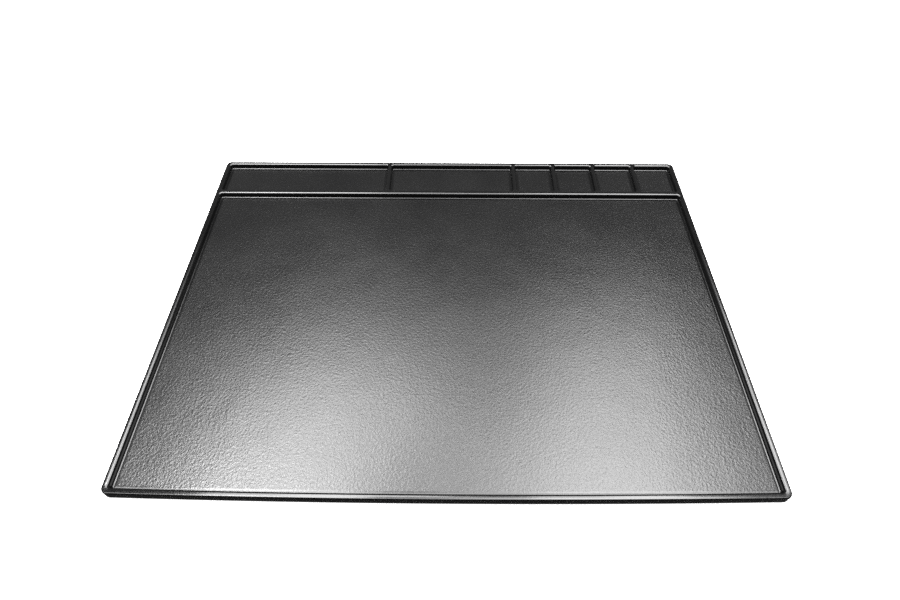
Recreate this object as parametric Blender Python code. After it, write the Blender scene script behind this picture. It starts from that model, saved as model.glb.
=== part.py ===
"""Parts sorting tray: one thermoformed black plastic moulding on nine stick-on rubber feet.

The moulding is a shallow bench tray. A raised bead runs round the outside, a
wider rail of the same height crosses it near the back, and five dividers
split the strip behind the rail into two long tool wells and four small parts
wells. Every bead is hollow from below, as a formed sheet is. The front edge
has the slight outward bow that the real sheet has taken.

Frame: +X to the tray's right, +Y to the back (where the small wells are),
+Z up. Origin: centre of the footprint, on the bench that the feet stand on.
Units are metres.
"""

import math

import bmesh
import bpy
from mathutils import Vector

MM = 0.001

# ---------------------------------------------------------------- dimensions
TRAY_W = 610.0 * MM  # outside width at the skirt's lower edge, 24 in
TRAY_D = 457.0 * MM  # outside depth at the corners, 18 in
FRONT_BOW = 3.6 * MM  # how far the front edge stands forward at its middle
TRAY_H = 8.4 * MM  # underside of the floor to the top of the bead
FLOOR_T = 1.8 * MM  # thickness of the formed sheet in the floor
WALL_T = 1.5 * MM  # thickness of the drawn walls of the beads

SKIRT_DRAFT = math.radians(2.5)  # the outer skirt leans in towards the top
WALL_DRAFT = math.radians(3.0)  # the well walls lean back
CORNER_R = 7.0 * MM  # plan radius of the outer corners
WELL_R = 2.6 * MM  # plan radius of a well's corners at its walls
TOP_R_OUT = 1.5 * MM  # rounding of the outer bead, outer side
TOP_R_IN = 2.4 * MM  # rounding of every bead, well side
FOOT_FILLET = 1.5 * MM  # inside radius between wall and floor

RIM_W = 6.0 * MM  # width of the outer bead, between its two faces
RAIL_W = 7.8 * MM  # width of the cross rail
DIVIDER_W = 5.2 * MM  # width of a divider
RAIL_SETBACK = 60.6 * MM  # centre line of the cross rail, in from the back edge
LONG_DIVIDER_X = -81.2 * MM  # between the two long wells
SMALL_PITCH = 53.9 * MM  # spacing of the small wells
SMALL_FIRST_X = 86.5 * MM  # divider at the left of the first small well
DIVIDER_X = [LONG_DIVIDER_X] + [SMALL_FIRST_X + i * SMALL_PITCH for i in range(4)]

FOOT_D = 12.7 * MM  # stick-on bumper, diameter at the tray
FOOT_H = 2.2 * MM
FOOT_GAP = 0.3 * MM  # stands for the adhesive film
FOOT_X = [v * MM for v in (-272.0, 0.0, 272.0)]
FOOT_Y = [v * MM for v in (-195.0, 0.0, 197.0)]

# The footprint's middle is at the origin, the bow included.
BACK_Y = (TRAY_D + FRONT_BOW) / 2
FRONT_Y = BACK_Y - TRAY_D  # at the corners
RAIL_Y = BACK_Y - RAIL_SETBACK
BASE_Z = FOOT_H + FOOT_GAP  # underside of the tray floor
FLOOR_Z = BASE_Z + FLOOR_T  # working surface
TOP_Z = BASE_Z + TRAY_H  # top of every bead
PLAY = 1.0 * MM  # how far a cutter runs past the face it cuts

CORNER_STEPS = 5
ROUND_STEPS = 3
BOW_STEPS = 12


# ------------------------------------------------------------------- helpers
def clear_scene():
    for obj in list(bpy.data.objects):
        bpy.data.objects.remove(obj, do_unlink=True)


def new_collection(name):
    collection = bpy.data.collections.new(name)
    bpy.context.scene.collection.children.link(collection)
    return collection


def plastic(name, colour, roughness):
    material = bpy.data.materials.new(name)
    material.use_nodes = True
    shader = material.node_tree.nodes["Principled BSDF"]
    shader.inputs["Base Color"].default_value = (*colour, 1.0)
    shader.inputs["Roughness"].default_value = roughness
    shader.inputs["Metallic"].default_value = 0.0
    return material


def add_object(name, bm, collection, cutter=False):
    mesh = bpy.data.meshes.new(name)
    bm.normal_update()
    bm.to_mesh(mesh)
    bm.free()
    obj = bpy.data.objects.new(name, mesh)
    collection.objects.link(obj)
    if cutter:
        obj.hide_render = True
        obj.display_type = "WIRE"
    return obj


def face_at(bm, z, up):
    """The flat end face at height z."""
    return next(
        f
        for f in bm.faces
        if all(abs(v.co.z - z) < 1e-6 for v in f.verts) and (f.normal.z > 0) == up
    )


def round_edges(bm, edges, radius, steps):
    bmesh.ops.bevel(
        bm,
        geom=edges,
        offset=radius,
        offset_type="OFFSET",
        segments=steps,
        profile=0.5,
        affect="EDGES",
        clamp_overlap=False,
    )
    bm.normal_update()


def drafted_box(low, high, growth=(0.0, 0.0)):
    """A block whose base runs from low to high and whose top is wider by growth
    on each side, along X and along Y. Negative growth makes the top smaller."""
    bm = bmesh.new()
    bmesh.ops.create_cube(bm, size=1.0)
    for v in bm.verts:
        side = [math.copysign(1.0, c) for c in v.co]
        for axis in range(3):
            v.co[axis] = high[axis] if side[axis] > 0 else low[axis]
        if side[2] > 0:
            v.co.x += side[0] * growth[0]
            v.co.y += side[1] * growth[1]
    bm.normal_update()
    return bm


def bow_front(bm, bow):
    """Bends the block's front face forward: by bow at its middle, by nothing at its ends."""
    front = [
        e
        for e in bm.edges
        if all(v.co.y < 0 for v in e.verts)
        and abs(e.verts[0].co.x - e.verts[1].co.x) > PLAY
    ]
    bmesh.ops.subdivide_edges(bm, edges=front, cuts=BOW_STEPS - 1, use_grid_fill=True)
    reach = max(abs(v.co.x) for v in bm.verts)
    for v in bm.verts:
        if v.co.y < 0:
            v.co.y -= bow * max(0.0, 1 - (v.co.x / reach) ** 2)
    bm.normal_update()


def rounded_block(low, high, radius, growth=0.0, bow=0.0):
    """A block with rounded upright corners and drafted sides."""
    bm = drafted_box(low, high, (growth, growth))
    if bow:
        bow_front(bm, bow)
    middle = (low[0] + high[0]) / 2
    reach = (high[0] - low[0]) / 2 - abs(growth) - 1e-6
    upright = [
        e
        for e in bm.edges
        if abs(e.verts[0].co.z - e.verts[1].co.z) > 0.5 * MM
        and all(abs(v.co.x - middle) > reach for v in e.verts)
    ]
    round_edges(bm, upright, radius, CORNER_STEPS)
    return bm


def well_cutter(name, x0, x1, y0, y1, collection, bow=0.0):
    """The space of one well. x0..x1 by y0..y1 is its opening between the beads' faces.

    A drafted rounded block makes the walls, its lower edges are rounded for
    the inside radius, and its mouth flares out for the beads' rounding.
    """
    flare_z = TOP_Z - TOP_R_IN * (1 - math.sin(WALL_DRAFT))
    lean = (flare_z - FLOOR_Z) * math.tan(WALL_DRAFT)
    bm = rounded_block(
        (x0 + lean, y0 + lean, FLOOR_Z),
        (x1 - lean, y1 - lean, flare_z),
        WELL_R,
        growth=lean,
        bow=bow,
    )
    bottom = face_at(bm, FLOOR_Z, up=False)
    round_edges(bm, list(bottom.edges), FOOT_FILLET, ROUND_STEPS)
    # The mouth follows the beads' rounding, and its last step is carried on a
    # little past the top face.
    arc = []
    for i in range(ROUND_STEPS + 1):
        a = WALL_DRAFT + (math.pi / 2 - WALL_DRAFT) * i / ROUND_STEPS
        arc.append((-TOP_R_IN * math.cos(a), TOP_R_IN * math.sin(a)))
    step = (arc[-1][0] - arc[-2][0], arc[-1][1] - arc[-2][1])
    arc[-1] = (arc[-1][0] + 0.15 * step[0], arc[-1][1] + 0.15 * step[1])
    mouth = face_at(bm, flare_z, up=True)
    for (x_a, z_a), (x_b, z_b) in zip(arc, arc[1:]):
        bmesh.ops.inset_individual(
            bm,
            faces=[mouth],
            thickness=-(x_b - x_a),
            depth=z_b - z_a,
            use_even_offset=True,
        )
    lid = bmesh.ops.extrude_face_region(bm, geom=[mouth])
    bmesh.ops.delete(bm, geom=[mouth], context="FACES_ONLY")
    bmesh.ops.translate(
        bm,
        verts=[v for v in lid["geom"] if isinstance(v, bmesh.types.BMVert)],
        vec=Vector((0, 0, PLAY)),
    )
    bmesh.ops.recalc_face_normals(bm, faces=bm.faces)
    return add_object(name, bm, collection, cutter=True)


def cut(target, cutter):
    modifier = target.modifiers.new("by_" + cutter.name, "BOOLEAN")
    modifier.operation = "DIFFERENCE"
    modifier.solver = "EXACT"
    modifier.object = cutter


# --------------------------------------------------------------------- build
def build_moulding(parts, cutters):
    half_w = TRAY_W / 2
    skirt_lean = TRAY_H * math.tan(SKIRT_DRAFT)
    bm = rounded_block(
        (-half_w, FRONT_Y, BASE_Z),
        (half_w, BACK_Y, TOP_Z),
        CORNER_R,
        growth=-skirt_lean,
        bow=FRONT_BOW,
    )
    top = face_at(bm, TOP_Z, up=True)
    round_edges(bm, list(top.edges), TOP_R_OUT, ROUND_STEPS)
    tray = add_object("tray_moulding", bm, parts)

    # Wells: one large, then the strip of six behind the rail.
    left, right = -half_w + skirt_lean + RIM_W, half_w - skirt_lean - RIM_W
    front, back = FRONT_Y + skirt_lean + RIM_W, BACK_Y - skirt_lean - RIM_W
    rail_front, rail_back = RAIL_Y - RAIL_W / 2, RAIL_Y + RAIL_W / 2
    cut(
        tray,
        well_cutter(
            "cut_work_area", left, right, front, rail_front, cutters, bow=FRONT_BOW
        ),
    )
    edges = [left]
    for x in DIVIDER_X:
        edges += [x - DIVIDER_W / 2, x + DIVIDER_W / 2]
    edges.append(right)
    for i in range(0, len(edges), 2):
        name = f"cut_well_{i // 2 + 1}"
        cut(
            tray,
            well_cutter(name, edges[i], edges[i + 1], rail_back, back, cutters),
        )

    # Hollow of the outer bead: a ring-shaped groove, open at the bottom.
    ceiling = TOP_Z - WALL_T
    depth = ceiling - BASE_Z + PLAY
    out_lean = depth * math.tan(SKIRT_DRAFT)
    out_inset = WALL_T - PLAY * math.tan(SKIRT_DRAFT)
    ring = add_object(
        "cut_rim_hollow",
        rounded_block(
            (-half_w + out_inset, FRONT_Y + out_inset, BASE_Z - PLAY),
            (half_w - out_inset, BACK_Y - out_inset, ceiling),
            CORNER_R - WALL_T,
            growth=-out_lean,
            bow=FRONT_BOW,
        ),
        cutters,
        cutter=True,
    )
    core_depth = depth + 2 * PLAY
    core_lean = core_depth * math.tan(WALL_DRAFT)
    in_top = skirt_lean + RIM_W - WALL_T - PLAY * math.tan(WALL_DRAFT)
    in_base = in_top + core_lean
    core = add_object(
        "cut_rim_core",
        rounded_block(
            (-half_w + in_base, FRONT_Y + in_base, BASE_Z - 2 * PLAY),
            (half_w - in_base, BACK_Y - in_base, ceiling + PLAY),
            WELL_R + WALL_T,
            growth=core_lean,
            bow=FRONT_BOW,
        ),
        cutters,
        cutter=True,
    )
    cut(ring, core)
    cut(tray, ring)

    # Hollows of the cross rail and of the dividers. Their ceilings step down
    # a little, as the sheet thickens where it was drawn into a narrow rib.
    reach = 4.0 * MM
    lean = depth * math.tan(WALL_DRAFT)
    rail_half = RAIL_W / 2 - WALL_T
    cut(
        tray,
        add_object(
            "cut_rail_hollow",
            drafted_box(
                (-half_w + reach, RAIL_Y - rail_half - lean, BASE_Z - PLAY),
                (half_w - reach, RAIL_Y + rail_half + lean, ceiling - 0.2 * MM),
                (0.0, -lean),
            ),
            cutters,
            cutter=True,
        ),
    )
    divider_half = DIVIDER_W / 2 - WALL_T
    for i, x in enumerate(DIVIDER_X, start=1):
        cut(
            tray,
            add_object(
                f"cut_divider_slot_{i}",
                drafted_box(
                    (x - divider_half - lean, RAIL_Y, BASE_Z - PLAY),
                    (x + divider_half + lean, BACK_Y - reach, ceiling - 0.5 * MM),
                    (-lean, 0.0),
                ),
                cutters,
                cutter=True,
            ),
        )
    return tray


def build_feet(parts, material):
    names_y = ("front", "middle", "rear")
    names_x = ("left", "centre", "right")
    for row, y in zip(names_y, FOOT_Y):
        for column, x in zip(names_x, FOOT_X):
            bm = bmesh.new()
            bmesh.ops.create_cone(
                bm,
                cap_ends=True,
                segments=28,
                radius1=FOOT_D / 2 - 0.5 * MM,
                radius2=FOOT_D / 2,
                depth=FOOT_H,
            )
            bm.normal_update()
            sole = face_at(bm, -FOOT_H / 2, up=False)
            round_edges(bm, list(sole.edges), 0.5 * MM, 2)
            foot = add_object(f"foot_{row}_{column}", bm, parts)
            foot.location = (x, y, FOOT_H / 2)
            foot.data.materials.append(material)
            foot.data.shade_smooth()
            foot.data.set_sharp_from_angle(angle=math.radians(40))


def main():
    clear_scene()
    parts = new_collection("parts_sorting_tray")
    cutters = new_collection("cutters")
    black = plastic("black_abs", (0.018, 0.018, 0.019), 0.42)
    rubber = plastic("black_rubber", (0.022, 0.022, 0.022), 0.75)
    tray = build_moulding(parts, cutters)
    tray.data.materials.append(black)
    tray.data.shade_smooth()
    tray.data.set_sharp_from_angle(angle=math.radians(35))
    build_feet(parts, rubber)


main()
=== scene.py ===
"""Looks of the parts sorting tray: the formed ABS moulding, its rubber feet, studio and camera.

The moulding's CAD solid is replaced by a finer surface of the same size. Its
shape is swept from the same cross sections: every well is an outline carried
down a profile, and so are the skirt and the hollows underneath, so the sheet
is closed and has its real thickness all over. Units are metres.
"""

import math

import bmesh
import bpy
import numpy as np
from mathutils import Matrix, Vector


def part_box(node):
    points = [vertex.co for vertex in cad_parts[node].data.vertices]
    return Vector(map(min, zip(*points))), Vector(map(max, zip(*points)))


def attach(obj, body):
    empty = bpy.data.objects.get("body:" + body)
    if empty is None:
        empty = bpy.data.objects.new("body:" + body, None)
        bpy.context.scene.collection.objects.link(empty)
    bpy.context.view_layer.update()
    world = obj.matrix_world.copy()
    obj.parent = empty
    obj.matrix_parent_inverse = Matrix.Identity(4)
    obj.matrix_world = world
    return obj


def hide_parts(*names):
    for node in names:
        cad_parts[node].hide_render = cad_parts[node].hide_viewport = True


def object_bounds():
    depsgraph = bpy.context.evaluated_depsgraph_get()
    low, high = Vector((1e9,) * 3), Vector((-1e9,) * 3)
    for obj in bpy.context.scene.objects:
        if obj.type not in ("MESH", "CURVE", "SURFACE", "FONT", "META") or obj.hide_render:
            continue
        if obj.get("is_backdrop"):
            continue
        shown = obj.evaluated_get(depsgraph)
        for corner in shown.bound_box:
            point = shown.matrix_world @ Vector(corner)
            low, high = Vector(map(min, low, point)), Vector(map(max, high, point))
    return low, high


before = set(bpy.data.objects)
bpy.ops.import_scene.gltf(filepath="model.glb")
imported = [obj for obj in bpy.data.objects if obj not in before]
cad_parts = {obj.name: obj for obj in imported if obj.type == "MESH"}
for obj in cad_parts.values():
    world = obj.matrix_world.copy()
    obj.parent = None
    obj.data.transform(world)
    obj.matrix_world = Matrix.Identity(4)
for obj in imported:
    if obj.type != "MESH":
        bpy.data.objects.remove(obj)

MM = 0.001
cad_low, cad_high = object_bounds()

# ------------------------------------------------------------------ sizes
tray_low, tray_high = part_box("tray_moulding")
HALF_W = (tray_high.x - tray_low.x) / 2
BOW = 3.6 * MM
BACK_Y = tray_high.y
FRONT_Y = tray_low.y + BOW  # at the corners
BASE_Z = tray_low.z
TOP_Z = tray_high.z
FLOOR_T = 1.8 * MM
WALL_T = 1.5 * MM
FLOOR_Z = BASE_Z + FLOOR_T
CEILING_Z = TOP_Z - WALL_T

SKIRT_DRAFT = math.radians(2.5)
WALL_DRAFT = math.radians(3.0)
CORNER_R = 7.0 * MM
WELL_R = 2.9 * MM
TOP_R_OUT = 1.4 * MM
TOP_R_IN = 2.5 * MM
FOOT_FILLET = 1.5 * MM
DIP, DIP_R = 9.0, 11.0 * MM  # slope in degrees and radius of the dip along the walls' feet
REAR_SOFTER = 0.24  # how much wider the rounding is on the beads' forward faces
CROWN_R = 20.0 * MM  # the beads' tops are very slightly crowned,
CROWN = math.radians(6.5)  # up to this slope, where the tighter rounding starts
ROUND_Z = TOP_Z - CROWN_R * (1 - math.cos(CROWN)) - TOP_R_IN * math.cos(CROWN)
WALL_TOP_Z = ROUND_Z + TOP_R_IN * math.sin(WALL_DRAFT)
RIM_W = 6.0 * MM
RAIL_W = 7.8 * MM
DIVIDER_W = 5.2 * MM
RAIL_Y = BACK_Y - 60.6 * MM
DIVIDER_X = [-81.2 * MM] + [(86.5 + 53.9 * i) * MM for i in range(4)]

STEP = 9.0 * MM  # spacing of points along a straight side


# ------------------------------------------------------------------ moulding
class Outline:
    """A rounded rectangle, anticlockwise. at(offset) moves it outwards by offset."""

    def __init__(self, x0, x1, y0, y1, radius, bow=0.0, corner_steps=9):
        base, out, corner = [], [], []
        corners = [
            (x1 - radius, y0 + radius, -90),
            (x1 - radius, y1 - radius, 0),
            (x0 + radius, y1 - radius, 90),
            (x0 + radius, y0 + radius, 180),
        ]
        for k, (cx, cy, start) in enumerate(corners):
            for i in range(corner_steps + 1):
                a = math.radians(start + 90 * i / corner_steps)
                base.append((cx + radius * math.cos(a), cy + radius * math.sin(a)))
                out.append((math.cos(a), math.sin(a)))
                corner.append(((1, 1, -1, -1)[k], (-1, 1, 1, -1)[k]))
            nx, ny, following = corners[(k + 1) % 4]
            a = math.radians(following)
            side = (math.cos(a), math.sin(a))
            here, there = base[-1], (nx + radius * side[0], ny + radius * side[1])
            n = max(1, round(math.dist(here, there) / STEP))
            for i in range(1, n):
                base.append(tuple(p + (q - p) * i / n for p, q in zip(here, there)))
                out.append(side)
                corner.append((0, 0))
        self.radius = radius
        self.base = np.array(base)
        self.out = np.array(out)
        self.corner = np.array(corner, float)
        self.facing = self.out.copy()
        if bow:
            # Only the front side bends forward; the corners keep their places.
            x = self.base[:, 0]
            front = np.clip(-self.out[:, 1], 0, 1)
            self.base[:, 1] -= front * bow * np.clip(1 - (x / HALF_W) ** 2, 0, 1)
            self.facing[:, 0] += front * 2 * bow * x / HALF_W**2
            self.facing /= np.linalg.norm(self.facing, axis=1)[:, None]

    def at(self, offset):
        """Moved inwards, the corners stay round: they keep at least 0.6 mm."""
        short = np.abs(self.corner) * np.maximum(0.6 * MM - self.radius - offset, 0)
        return self.base + self.out * (offset + short) - self.corner * short


class Skin:
    """Collects the rings and plates of the moulding, with a normal and a finish at each point."""

    def __init__(self):
        self.bm = bmesh.new()
        self.normals = []
        self.grain = []

    def ring(self, outline, offset, z, angle, grain, softer=0.0):
        """softer widens the rounding, where the offset is outward, along the rear side."""
        a = math.radians(angle)
        wide = 1 + softer * np.clip(outline.out[:, 1], 0, 1) ** 2
        wide = wide if offset > 0 else np.ones(len(wide))
        points = []
        for (x, y), (nx, ny), w in zip(outline.at(offset * wide[:, None]), outline.facing, wide):
            points.append(self.bm.verts.new((x, y, z)))
            n = Vector((nx * math.cos(a) / w, ny * math.cos(a) / w, math.sin(a)))
            self.normals.append(tuple(n.normalized()))
            self.grain.append(grain)
        return points

    def sweep(self, outline, profile, softer=0.0):
        """Rings of the outline down a profile, joined by quads. Returns the first and last."""
        rings = [self.ring(outline, *point, softer) for point in profile]
        for a, b in zip(rings, rings[1:]):
            n = len(a)
            for i in range(n):
                j = (i + 1) % n
                self.bm.faces.new((a[i], a[j], b[j], b[i]))
        return rings[0], rings[-1]

    def plate(self, loops):
        """Fills the flat region inside the first loop and outside the others."""
        edges = []
        for loop in loops:
            for a, b in zip(loop, loop[1:] + loop[:1]):
                edges.append(self.bm.edges.get((a, b)))
        bmesh.ops.triangle_fill(self.bm, use_beauty=True, edges=edges)


def arc(cx, cz, radius, start, end, steps, grain, hollow=False):
    """Profile points on a circle. A hollow arc is seen from its centre."""
    out = []
    for i in range(steps + 1):
        a = start + (end - start) * i / steps
        r = math.radians(a)
        out.append(
            (
                cx + radius * math.cos(r),
                cz + radius * math.sin(r),
                a + 180 if hollow else a,
                grain,
            )
        )
    return out


# How much of the haircell grain each part of the sheet keeps after forming.
ON_BEAD, ON_WALL, ON_FLOOR, BEHIND = 0.10, 0.16, 1.0, 0.0


def skirt_profile():
    """From the bead's crest down outside, round the trimmed edge, up inside to the hollow."""
    t, c = math.tan(SKIRT_DRAFT), math.cos(SKIRT_DRAFT)
    deg = math.degrees(SKIRT_DRAFT)
    r = TOP_R_OUT
    zc = TOP_Z - r
    dc = -r / c - (zc - BASE_Z) * t
    points = arc(dc, zc, r, 90, deg, 10, ON_BEAD)
    for up in (3.4, 1.2):
        points.append((-up * MM * t, BASE_Z + up * MM, deg, ON_WALL))
    e = 0.28 * MM  # the trimmed edge is broken on both sides
    points += arc(-e / c - e * t, BASE_Z + e, e, deg, -90, 4, ON_WALL)
    inner = -WALL_T / c
    points += arc(inner + e / c - e * t, BASE_Z + e, e, -90, -180 + deg, 4, BEHIND)
    points.append((inner - 2.0 * MM * t, BASE_Z + 2.0 * MM, -180 + deg, BEHIND))
    k = 0.5 * MM  # inside radius at the ceiling of the hollow
    zk = CEILING_Z - k
    points += arc(
        inner - (zk - BASE_Z) * t - k / c, zk, k, deg, 90, 4, BEHIND, hollow=True
    )
    return points


def well_profile():
    """From the beads' tops round into the well, down its wall and out over its floor."""
    t, c = math.tan(WALL_DRAFT), math.cos(WALL_DRAFT)
    deg = math.degrees(WALL_DRAFT)
    r = TOP_R_IN
    z_wall = WALL_TOP_Z
    start = 90 + math.degrees(CROWN)
    points = arc(r * c, ROUND_Z, r, start, 180 - deg, 12, ON_BEAD)
    for up in (3.6, 2.0):
        z = FLOOR_Z + up * MM
        points.append((-(z_wall - z) * t, z, 180 - deg, ON_WALL))
    # The foot dips a little before it meets the floor, where the sheet was drawn tight.
    f, s = FOOT_FILLET, math.radians(DIP)
    zf = FLOOR_Z + f - (f + DIP_R) * (1 - math.cos(s))
    df = -(z_wall - zf) * t - f / c
    points += arc(df, zf, f, -deg, -90 - DIP, 8, 0.3, hollow=True)
    dd = df - (f + DIP_R) * math.sin(s)
    points += arc(dd, FLOOR_Z - DIP_R, DIP_R, 90 - DIP, 90, 4, 0.4)[1:]
    points.append((dd - 0.8 * MM, FLOOR_Z, 90, ON_FLOOR))
    return points


def under_profile():
    """The back of a well: the hollow's ceiling, down, and in under the floor."""
    t, c = math.tan(WALL_DRAFT), math.cos(WALL_DRAFT)
    deg = math.degrees(WALL_DRAFT)
    z_wall = WALL_TOP_Z
    back = WALL_T / c
    k = 0.5 * MM
    zk = CEILING_Z - k
    points = arc(
        back - (z_wall - zk) * t + k / c, zk, k, 90, 180 - deg, 4, BEHIND, hollow=True
    )
    r = 1.7 * MM
    zr = BASE_Z + r
    z = zr + 1.5 * MM
    points.append((back - (z_wall - z) * t, z, -deg, BEHIND))
    dr = back - (z_wall - zr) * t - r / c
    points += arc(dr, zr, r, -deg, -90, 7, BEHIND)
    points.append((dr - 0.6 * MM, BASE_Z, -90, BEHIND))
    return points


def build_moulding():
    skin = Skin()
    lean = (TOP_Z - BASE_Z) * math.tan(SKIRT_DRAFT)
    left, right = -HALF_W + lean + RIM_W, HALF_W - lean - RIM_W
    front, back = FRONT_Y + lean + RIM_W, BACK_Y - lean - RIM_W
    outer = Outline(-HALF_W, HALF_W, FRONT_Y, BACK_Y, CORNER_R, BOW, 14)
    wells = [Outline(left, right, front, RAIL_Y - RAIL_W / 2, WELL_R, BOW)]
    edges = [left]
    for x in DIVIDER_X:
        edges += [x - DIVIDER_W / 2, x + DIVIDER_W / 2]
    edges.append(right)
    for x0, x1 in zip(edges[::2], edges[1::2]):
        wells.append(Outline(x0, x1, RAIL_Y + RAIL_W / 2, back, WELL_R))
    first, last = skin.sweep(outer, skirt_profile())
    top, ceiling = [first], [last]
    for well in wells:
        first, last = skin.sweep(well, well_profile(), REAR_SOFTER)
        top.append(first)
        skin.plate([last])
        first, last = skin.sweep(well, under_profile())
        ceiling.append(first)
        skin.plate([last])
    skin.plate(top)
    skin.plate(ceiling)
    bm = skin.bm
    assert all(len(e.link_faces) == 2 for e in bm.edges), "the moulding isn't closed"
    bmesh.ops.recalc_face_normals(bm, faces=bm.faces)
    if bm.calc_volume(signed=True) < 0:
        bmesh.ops.reverse_faces(bm, faces=bm.faces)
    mesh = bpy.data.meshes.new("tray_shell")
    bm.to_mesh(mesh)
    bm.free()
    mesh.shade_smooth()
    mesh.normals_split_custom_set_from_vertices(skin.normals)
    mesh.attributes.new("grain", "FLOAT", "POINT").data.foreach_set("value", skin.grain)
    obj = bpy.data.objects.new("tray_shell", mesh)
    bpy.context.scene.collection.objects.link(obj)
    return obj


def build_bumper(name, centre, low, high, radius):
    """A turned rubber bumper: domed rim, flat sole, and its adhesive disc above."""
    pad = 0.45 * MM
    body_top = high - pad * 0.4
    profile = [(0.0, low), (radius - 2.6 * MM, low)]
    for i in range(1, 9):
        a = math.radians(90 * i / 8)
        profile.append(
            (
                radius - 2.6 * MM + 2.3 * MM * math.sin(a),
                low + 1.45 * MM * (1 - math.cos(a)),
            )
        )
    profile += [
        (radius, low + 1.62 * MM),
        (radius, body_top - 0.1 * MM),
        (radius - 0.1 * MM, body_top),
        (radius - 0.45 * MM, body_top),
        (radius - 0.45 * MM, high + pad),
        (0.0, high + pad),
    ]
    bm = bmesh.new()
    rings, n = [], 56
    for r, z in profile:
        if r == 0:
            rings.append([bm.verts.new((centre.x, centre.y, z))])
            continue
        rings.append(
            [
                bm.verts.new(
                    (
                        centre.x + r * math.cos(2 * math.pi * i / n),
                        centre.y + r * math.sin(2 * math.pi * i / n),
                        z,
                    )
                )
                for i in range(n)
            ]
        )
    for a, b in zip(rings, rings[1:]):
        for i in range(n):
            j = (i + 1) % n
            if len(a) == 1:
                bm.faces.new((a[0], b[i], b[j]))
            elif len(b) == 1:
                bm.faces.new((a[i], b[0], a[j]))
            else:
                bm.faces.new((a[i], a[j], b[j], b[i]))
    bmesh.ops.recalc_face_normals(bm, faces=bm.faces)
    mesh = bpy.data.meshes.new(name)
    bm.to_mesh(mesh)
    bm.free()
    mesh.shade_smooth()
    mesh.set_sharp_from_angle(angle=math.radians(40))
    obj = bpy.data.objects.new(name, mesh)
    bpy.context.scene.collection.objects.link(obj)
    return obj


# ------------------------------------------------------------------ materials
class Nodes:
    """Short forms for building a material's nodes."""

    def __init__(self, name):
        self.material = bpy.data.materials.new(name)
        self.material.use_nodes = True
        self.tree = self.material.node_tree
        self.tree.nodes.clear()
        self.count = 0
        self.shader = self.add("ShaderNodeBsdfPrincipled")
        out = self.add("ShaderNodeOutputMaterial")
        self.link(self.shader.outputs["BSDF"], out.inputs["Surface"])
        self.place = self.add("ShaderNodeTexCoord").outputs["Object"]

    def add(self, kind, **inputs):
        n = self.tree.nodes.new(kind)
        n.location = (-220 * self.count, 0)
        self.count += 1
        for key, value in inputs.items():
            n.inputs[key.replace("_", " ")].default_value = value
        return n

    def link(self, a, b):
        self.tree.links.new(a, b)

    def noise(self, scale, detail=2.0, roughness=0.5, at=None, flat=False):
        n = self.add("ShaderNodeTexNoise", Scale=scale, Detail=detail, Roughness=roughness)
        if flat:
            n.noise_dimensions = "2D"
        self.link(at or self.place, n.inputs["Vector"])
        return n.outputs["Fac"]

    def remap(self, value, a, b, c, d):
        n = self.add("ShaderNodeMapRange")
        n.inputs["From Min"].default_value = a
        n.inputs["From Max"].default_value = b
        n.inputs["To Min"].default_value = c
        n.inputs["To Max"].default_value = d
        self.link(value, n.inputs["Value"])
        return n.outputs["Result"]

    def maths(self, operation, a, b):
        n = self.add("ShaderNodeMath")
        n.operation = operation
        for socket, value in zip(n.inputs, (a, b)):
            if isinstance(value, (int, float)):
                socket.default_value = value
            else:
                self.link(value, socket)
        return n.outputs["Value"]


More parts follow.
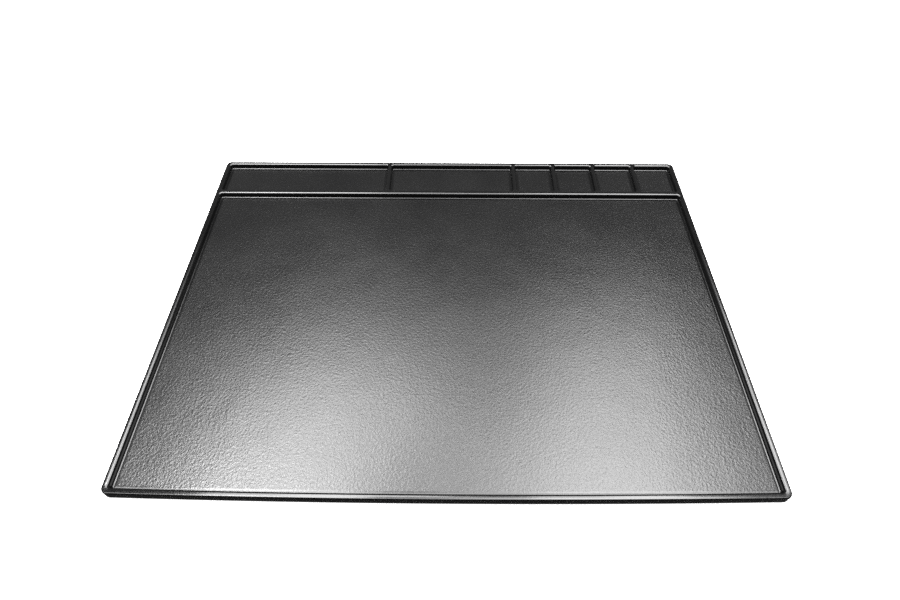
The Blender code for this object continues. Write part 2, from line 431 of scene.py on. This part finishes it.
def abs_plastic():
    m = Nodes("black_abs_haircell")
    m.shader.inputs["IOR"].default_value = 1.5
    attribute = m.add("ShaderNodeAttribute")
    attribute.attribute_name = "grain"
    grain = attribute.outputs["Fac"]

    # Haircell: wandering cells about 2 mm across with finer pits between them.
    warp = m.add("ShaderNodeTexNoise", Scale=335, Detail=1.0)
    warp.noise_dimensions = "2D"
    m.link(m.place, warp.inputs["Vector"])
    shift = m.add("ShaderNodeVectorMath")
    shift.operation = "MULTIPLY_ADD"
    m.link(warp.outputs["Color"], shift.inputs[0])
    shift.inputs[1].default_value = (0.0025, 0.0025, 0.0025)
    m.link(m.place, shift.inputs[2])
    cells = m.add("ShaderNodeTexVoronoi", Scale=455, Randomness=1.0)
    cells.voronoi_dimensions = "2D"
    cells.feature = "SMOOTH_F1"
    cells.inputs["Smoothness"].default_value = 0.6
    m.link(shift.outputs["Vector"], cells.inputs["Vector"])
    pits = m.noise(1000, 1.0, 0.6, shift.outputs["Vector"], flat=True)
    swell = m.noise(350, 1.0, 0.5, flat=True)
    height = m.maths("MULTIPLY", cells.outputs["Distance"], 0.28)
    height = m.maths("ADD", height, m.maths("MULTIPLY", pits, 0.24))
    height = m.maths("ADD", height, m.maths("MULTIPLY", swell, 0.36))
    bump = m.add("ShaderNodeBump", Distance=0.33 * MM)
    m.link(height, bump.inputs["Height"])
    m.link(m.remap(grain, 0, 1, 0.0, GRAIN_DEPTH), bump.inputs["Strength"])

    # Slow waviness of the formed sheet, everywhere
    wave = m.add("ShaderNodeBump", Distance=0.6 * MM, Strength=0.35)
    m.link(m.noise(26, 1.0), wave.inputs["Height"])
    m.link(bump.outputs["Normal"], wave.inputs["Normal"])
    m.link(wave.outputs["Normal"], m.shader.inputs["Normal"])

    # Gloss: satin beads, duller floors, faint handling marks
    handled = m.remap(m.noise(7.5, 3.0, 0.6), 0.3, 0.7, -0.025, 0.03)
    flecks = m.remap(m.noise(900, 1.0, 0.6, flat=True), 0.3, 0.7, -0.03, 0.03)
    base = m.remap(grain, 0, 1, BEAD_ROUGH, FLOOR_ROUGH)
    m.link(
        m.maths("ADD", m.maths("ADD", base, handled), flecks),
        m.shader.inputs["Roughness"],
    )

    # Colour: near-black, a little greyer in broad random patches
    tint = m.add("ShaderNodeMix")
    tint.data_type = "RGBA"
    tint.inputs["A"].default_value = (0.0022, 0.0022, 0.0023, 1)
    tint.inputs["B"].default_value = (0.0036, 0.0036, 0.0036, 1)
    m.link(m.remap(m.noise(14, 3.0, 0.65), 0.3, 0.75, 0, 1), tint.inputs["Factor"])
    m.link(tint.outputs["Result"], m.shader.inputs["Base Color"])
    return m.material


def rubber():
    m = Nodes("bumper_rubber")
    tint = m.add("ShaderNodeMix")
    tint.data_type = "RGBA"
    tint.inputs["A"].default_value = (0.012, 0.012, 0.0125, 1)
    tint.inputs["B"].default_value = (0.026, 0.026, 0.0265, 1)
    m.link(m.remap(m.noise(260, 4.0, 0.6), 0.3, 0.7, 0, 1), tint.inputs["Factor"])
    m.link(tint.outputs["Result"], m.shader.inputs["Base Color"])
    m.link(
        m.remap(m.noise(700, 3.0, 0.6), 0.3, 0.7, 0.55, 0.8),
        m.shader.inputs["Roughness"],
    )
    bump = m.add("ShaderNodeBump", Distance=0.05 * MM, Strength=0.5)
    m.link(m.noise(2200, 3.0, 0.6), bump.inputs["Height"])
    m.link(bump.outputs["Normal"], m.shader.inputs["Normal"])
    return m.material


# ------------------------------------------------------------------ build
GRAIN_DEPTH = 0.75
BEAD_ROUGH, FLOOR_ROUGH = 0.14, 0.26

tray = build_moulding()
tray.data.materials.append(abs_plastic())
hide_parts("tray_moulding")
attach(tray, "root")

feet = rubber()
for row in ("front", "middle", "rear"):
    for side in ("left", "centre", "right"):
        part = f"foot_{row}_{side}"
        low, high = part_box(part)
        bumper = build_bumper(
            f"bumper_{row}_{side}",
            (low + high) / 2,
            low.z,
            high.z,
            (high.x - low.x) / 2,
        )
        bumper.data.materials.append(feet)
        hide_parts(part)
        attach(bumper, "root")

# ------------------------------------------------------------------ studio
def plain_bench():
    """A wide pale floor. It is seen from above only, so the underside can be looked at."""
    bm = bmesh.new()
    bmesh.ops.create_grid(bm, x_segments=1, y_segments=1, size=4.0)
    mesh = bpy.data.meshes.new("bench")
    bm.to_mesh(mesh)
    bm.free()
    obj = bpy.data.objects.new("bench", mesh)
    obj.location.z = cad_low.z - 0.0001
    bpy.context.scene.collection.objects.link(obj)
    material = bpy.data.materials.new("bench_white")
    material.use_nodes = True
    nodes, links = material.node_tree.nodes, material.node_tree.links
    paint = nodes["Principled BSDF"]
    paint.inputs["Base Color"].default_value = (0.9, 0.9, 0.9, 1)
    paint.inputs["Roughness"].default_value = 0.9
    paint.inputs["Specular IOR Level"].default_value = 0.0
    paint.inputs["Emission Color"].default_value = (1, 1, 1, 1)
    paint.inputs["Emission Strength"].default_value = 0.97
    clear = nodes.new("ShaderNodeBsdfTransparent")
    side = nodes.new("ShaderNodeNewGeometry")
    mix = nodes.new("ShaderNodeMixShader")
    links.new(side.outputs["Backfacing"], mix.inputs[0])
    links.new(paint.outputs["BSDF"], mix.inputs[1])
    links.new(clear.outputs["BSDF"], mix.inputs[2])
    links.new(mix.outputs["Shader"], nodes["Material Output"].inputs["Surface"])
    mesh.materials.append(material)
    # The floor is hidden from reflections, so the tray's sides don't mirror the white floor.
    obj.visible_glossy = False
    obj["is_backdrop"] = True


def plain_world():
    """White to the camera. Reflections see a dark room with a soft fill below the horizon
    and a faint glow on the wall behind the tray."""
    world = bpy.data.worlds.new("studio")
    world.use_nodes = True
    nodes, links = world.node_tree.nodes, world.node_tree.links
    where = nodes.new("ShaderNodeTexCoord")
    split = nodes.new("ShaderNodeSeparateXYZ")
    links.new(where.outputs["Generated"], split.inputs[0])
    below = nodes.new("ShaderNodeMapRange")
    below.inputs["From Min"].default_value = 0.02
    below.inputs["From Max"].default_value = -0.15
    links.new(split.outputs["Z"], below.inputs["Value"])
    behind = nodes.new("ShaderNodeMapRange")
    behind.inputs["From Min"].default_value = -0.3
    behind.inputs["From Max"].default_value = 0.45
    behind.inputs["To Min"].default_value = 0.05
    behind.inputs["To Max"].default_value = 0.9
    links.new(split.outputs["Y"], behind.inputs["Value"])
    beside = nodes.new("ShaderNodeMapRange")
    beside.inputs["From Min"].default_value = 0.55
    beside.inputs["From Max"].default_value = 0.9
    beside.inputs["To Min"].default_value = 0.0
    beside.inputs["To Max"].default_value = 1.6
    links.new(split.outputs["X"], beside.inputs["Value"])
    both = nodes.new("ShaderNodeMath")
    both.operation = "ADD"
    links.new(behind.outputs["Result"], both.inputs[0])
    links.new(beside.outputs["Result"], both.inputs[1])
    fill = nodes.new("ShaderNodeMath")
    fill.operation = "MULTIPLY"
    links.new(below.outputs["Result"], fill.inputs[0])
    links.new(both.outputs["Value"], fill.inputs[1])
    wall = nodes.new("ShaderNodeMapRange")
    wall.inputs["From Min"].default_value = 0.76
    wall.inputs["From Max"].default_value = 0.64
    wall.inputs["To Max"].default_value = 0.24
    links.new(split.outputs["Z"], wall.inputs["Value"])
    rear = nodes.new("ShaderNodeMapRange")
    rear.inputs["From Min"].default_value = 0.35
    rear.inputs["From Max"].default_value = 0.60
    links.new(split.outputs["Y"], rear.inputs["Value"])
    glow = nodes.new("ShaderNodeMath")
    glow.operation = "MULTIPLY_ADD"
    links.new(wall.outputs["Result"], glow.inputs[0])
    links.new(rear.outputs["Result"], glow.inputs[1])
    links.new(fill.outputs["Value"], glow.inputs[2])
    path = nodes.new("ShaderNodeLightPath")
    seen = nodes.new("ShaderNodeMath")
    seen.operation = "MAXIMUM"
    links.new(path.outputs["Is Camera Ray"], seen.inputs[0])
    links.new(glow.outputs["Value"], seen.inputs[1])
    links.new(seen.outputs["Value"], nodes["Background"].inputs["Strength"])
    nodes["Background"].inputs["Color"].default_value = (1, 1, 1, 1)
    bpy.context.scene.world = world


def softbox(name, x0, x1, y0, y1, radiance, z=1.5):
    """A soft panel overhead, facing down, given by its extent."""
    data = bpy.data.lights.new(name, "AREA")
    data.shape = "RECTANGLE"
    data.size, data.size_y = x1 - x0, y1 - y0
    data.energy = radiance * math.pi * (x1 - x0) * (y1 - y0)
    light = bpy.data.objects.new(name, data)
    light.location = ((x0 + x1) / 2, (y0 + y1) / 2, z)
    bpy.context.scene.collection.objects.link(light)


plain_bench()
plain_world()
softbox("front_left", -0.90, -0.30, -0.50, 0.02, 17.0)
softbox("front_middle", -0.30, 0.30, -0.50, 0.02, 10.0)
softbox("front_right", 0.30, 0.90, -0.50, 0.02, 11.0)
softbox("front_left_edge", -1.50, -0.90, -0.60, 0.10, 9.0)
softbox("front_right_edge", 0.90, 1.40, -0.60, 0.10, 7.0)
softbox("scrim_left", -0.90, 0.00, 0.02, 0.98, 2.6)
softbox("scrim_high", -0.60, 0.90, 0.26, 1.22, 1.8, z=1.502)
softbox("scrim_right", 0.90, 1.50, -0.22, 0.98, 1.0, z=1.504)
softbox("box_left", -0.90, -0.30, 0.02, 0.50, 16.1, z=1.506)
softbox("box_left_edge", -0.90, -0.60, 0.02, 0.26, 33.5, z=1.508)
softbox("box_left_rear", -0.90, 0.00, 0.50, 0.74, 11.6, z=1.510)
softbox("box_left_high", -0.60, -0.30, 0.50, 0.98, 4.6, z=1.512)
softbox("box_right", 0.30, 0.90, 0.02, 0.98, 9.0, z=1.514)
softbox("box_right_front", 0.00, 1.05, 0.02, 0.50, 9.6, z=1.516)
softbox("box_right_rear", 0.60, 0.90, 0.50, 0.98, 6.7, z=1.518)

# ------------------------------------------------------------------ camera
camera_data = bpy.data.cameras.new("camera")
camera_data.sensor_width = 36.0
camera_data.lens = 564.0 / 900 * 36
camera_data.clip_start = 0.01
camera = bpy.data.objects.new("camera", camera_data)
right = Vector((0.999977827, 0.0066090965, 0.00081536))
ahead = Vector((-0.00341416, 0.61395395, -0.78933446))
up = Vector((-0.00571738, 0.78931417, 0.6139629))
# a last small turn to centre the tray in the frame
ahead = (ahead - 0.00060 * right + 0.00080 * up).normalized()
right = ahead.cross(up).normalized()
up = right.cross(ahead)
turn = Matrix((right, up, -ahead)).transposed()
camera.matrix_world = Matrix.Translation((0.00477, -0.39398, 0.50501)) @ turn.to_4x4()
bpy.context.scene.collection.objects.link(camera)
bpy.context.scene.camera = camera
bpy.context.scene.view_settings.view_transform = "Standard"
bpy.context.scene.cycles.use_denoising = False  # the denoiser would smear the haircell

low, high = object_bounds()
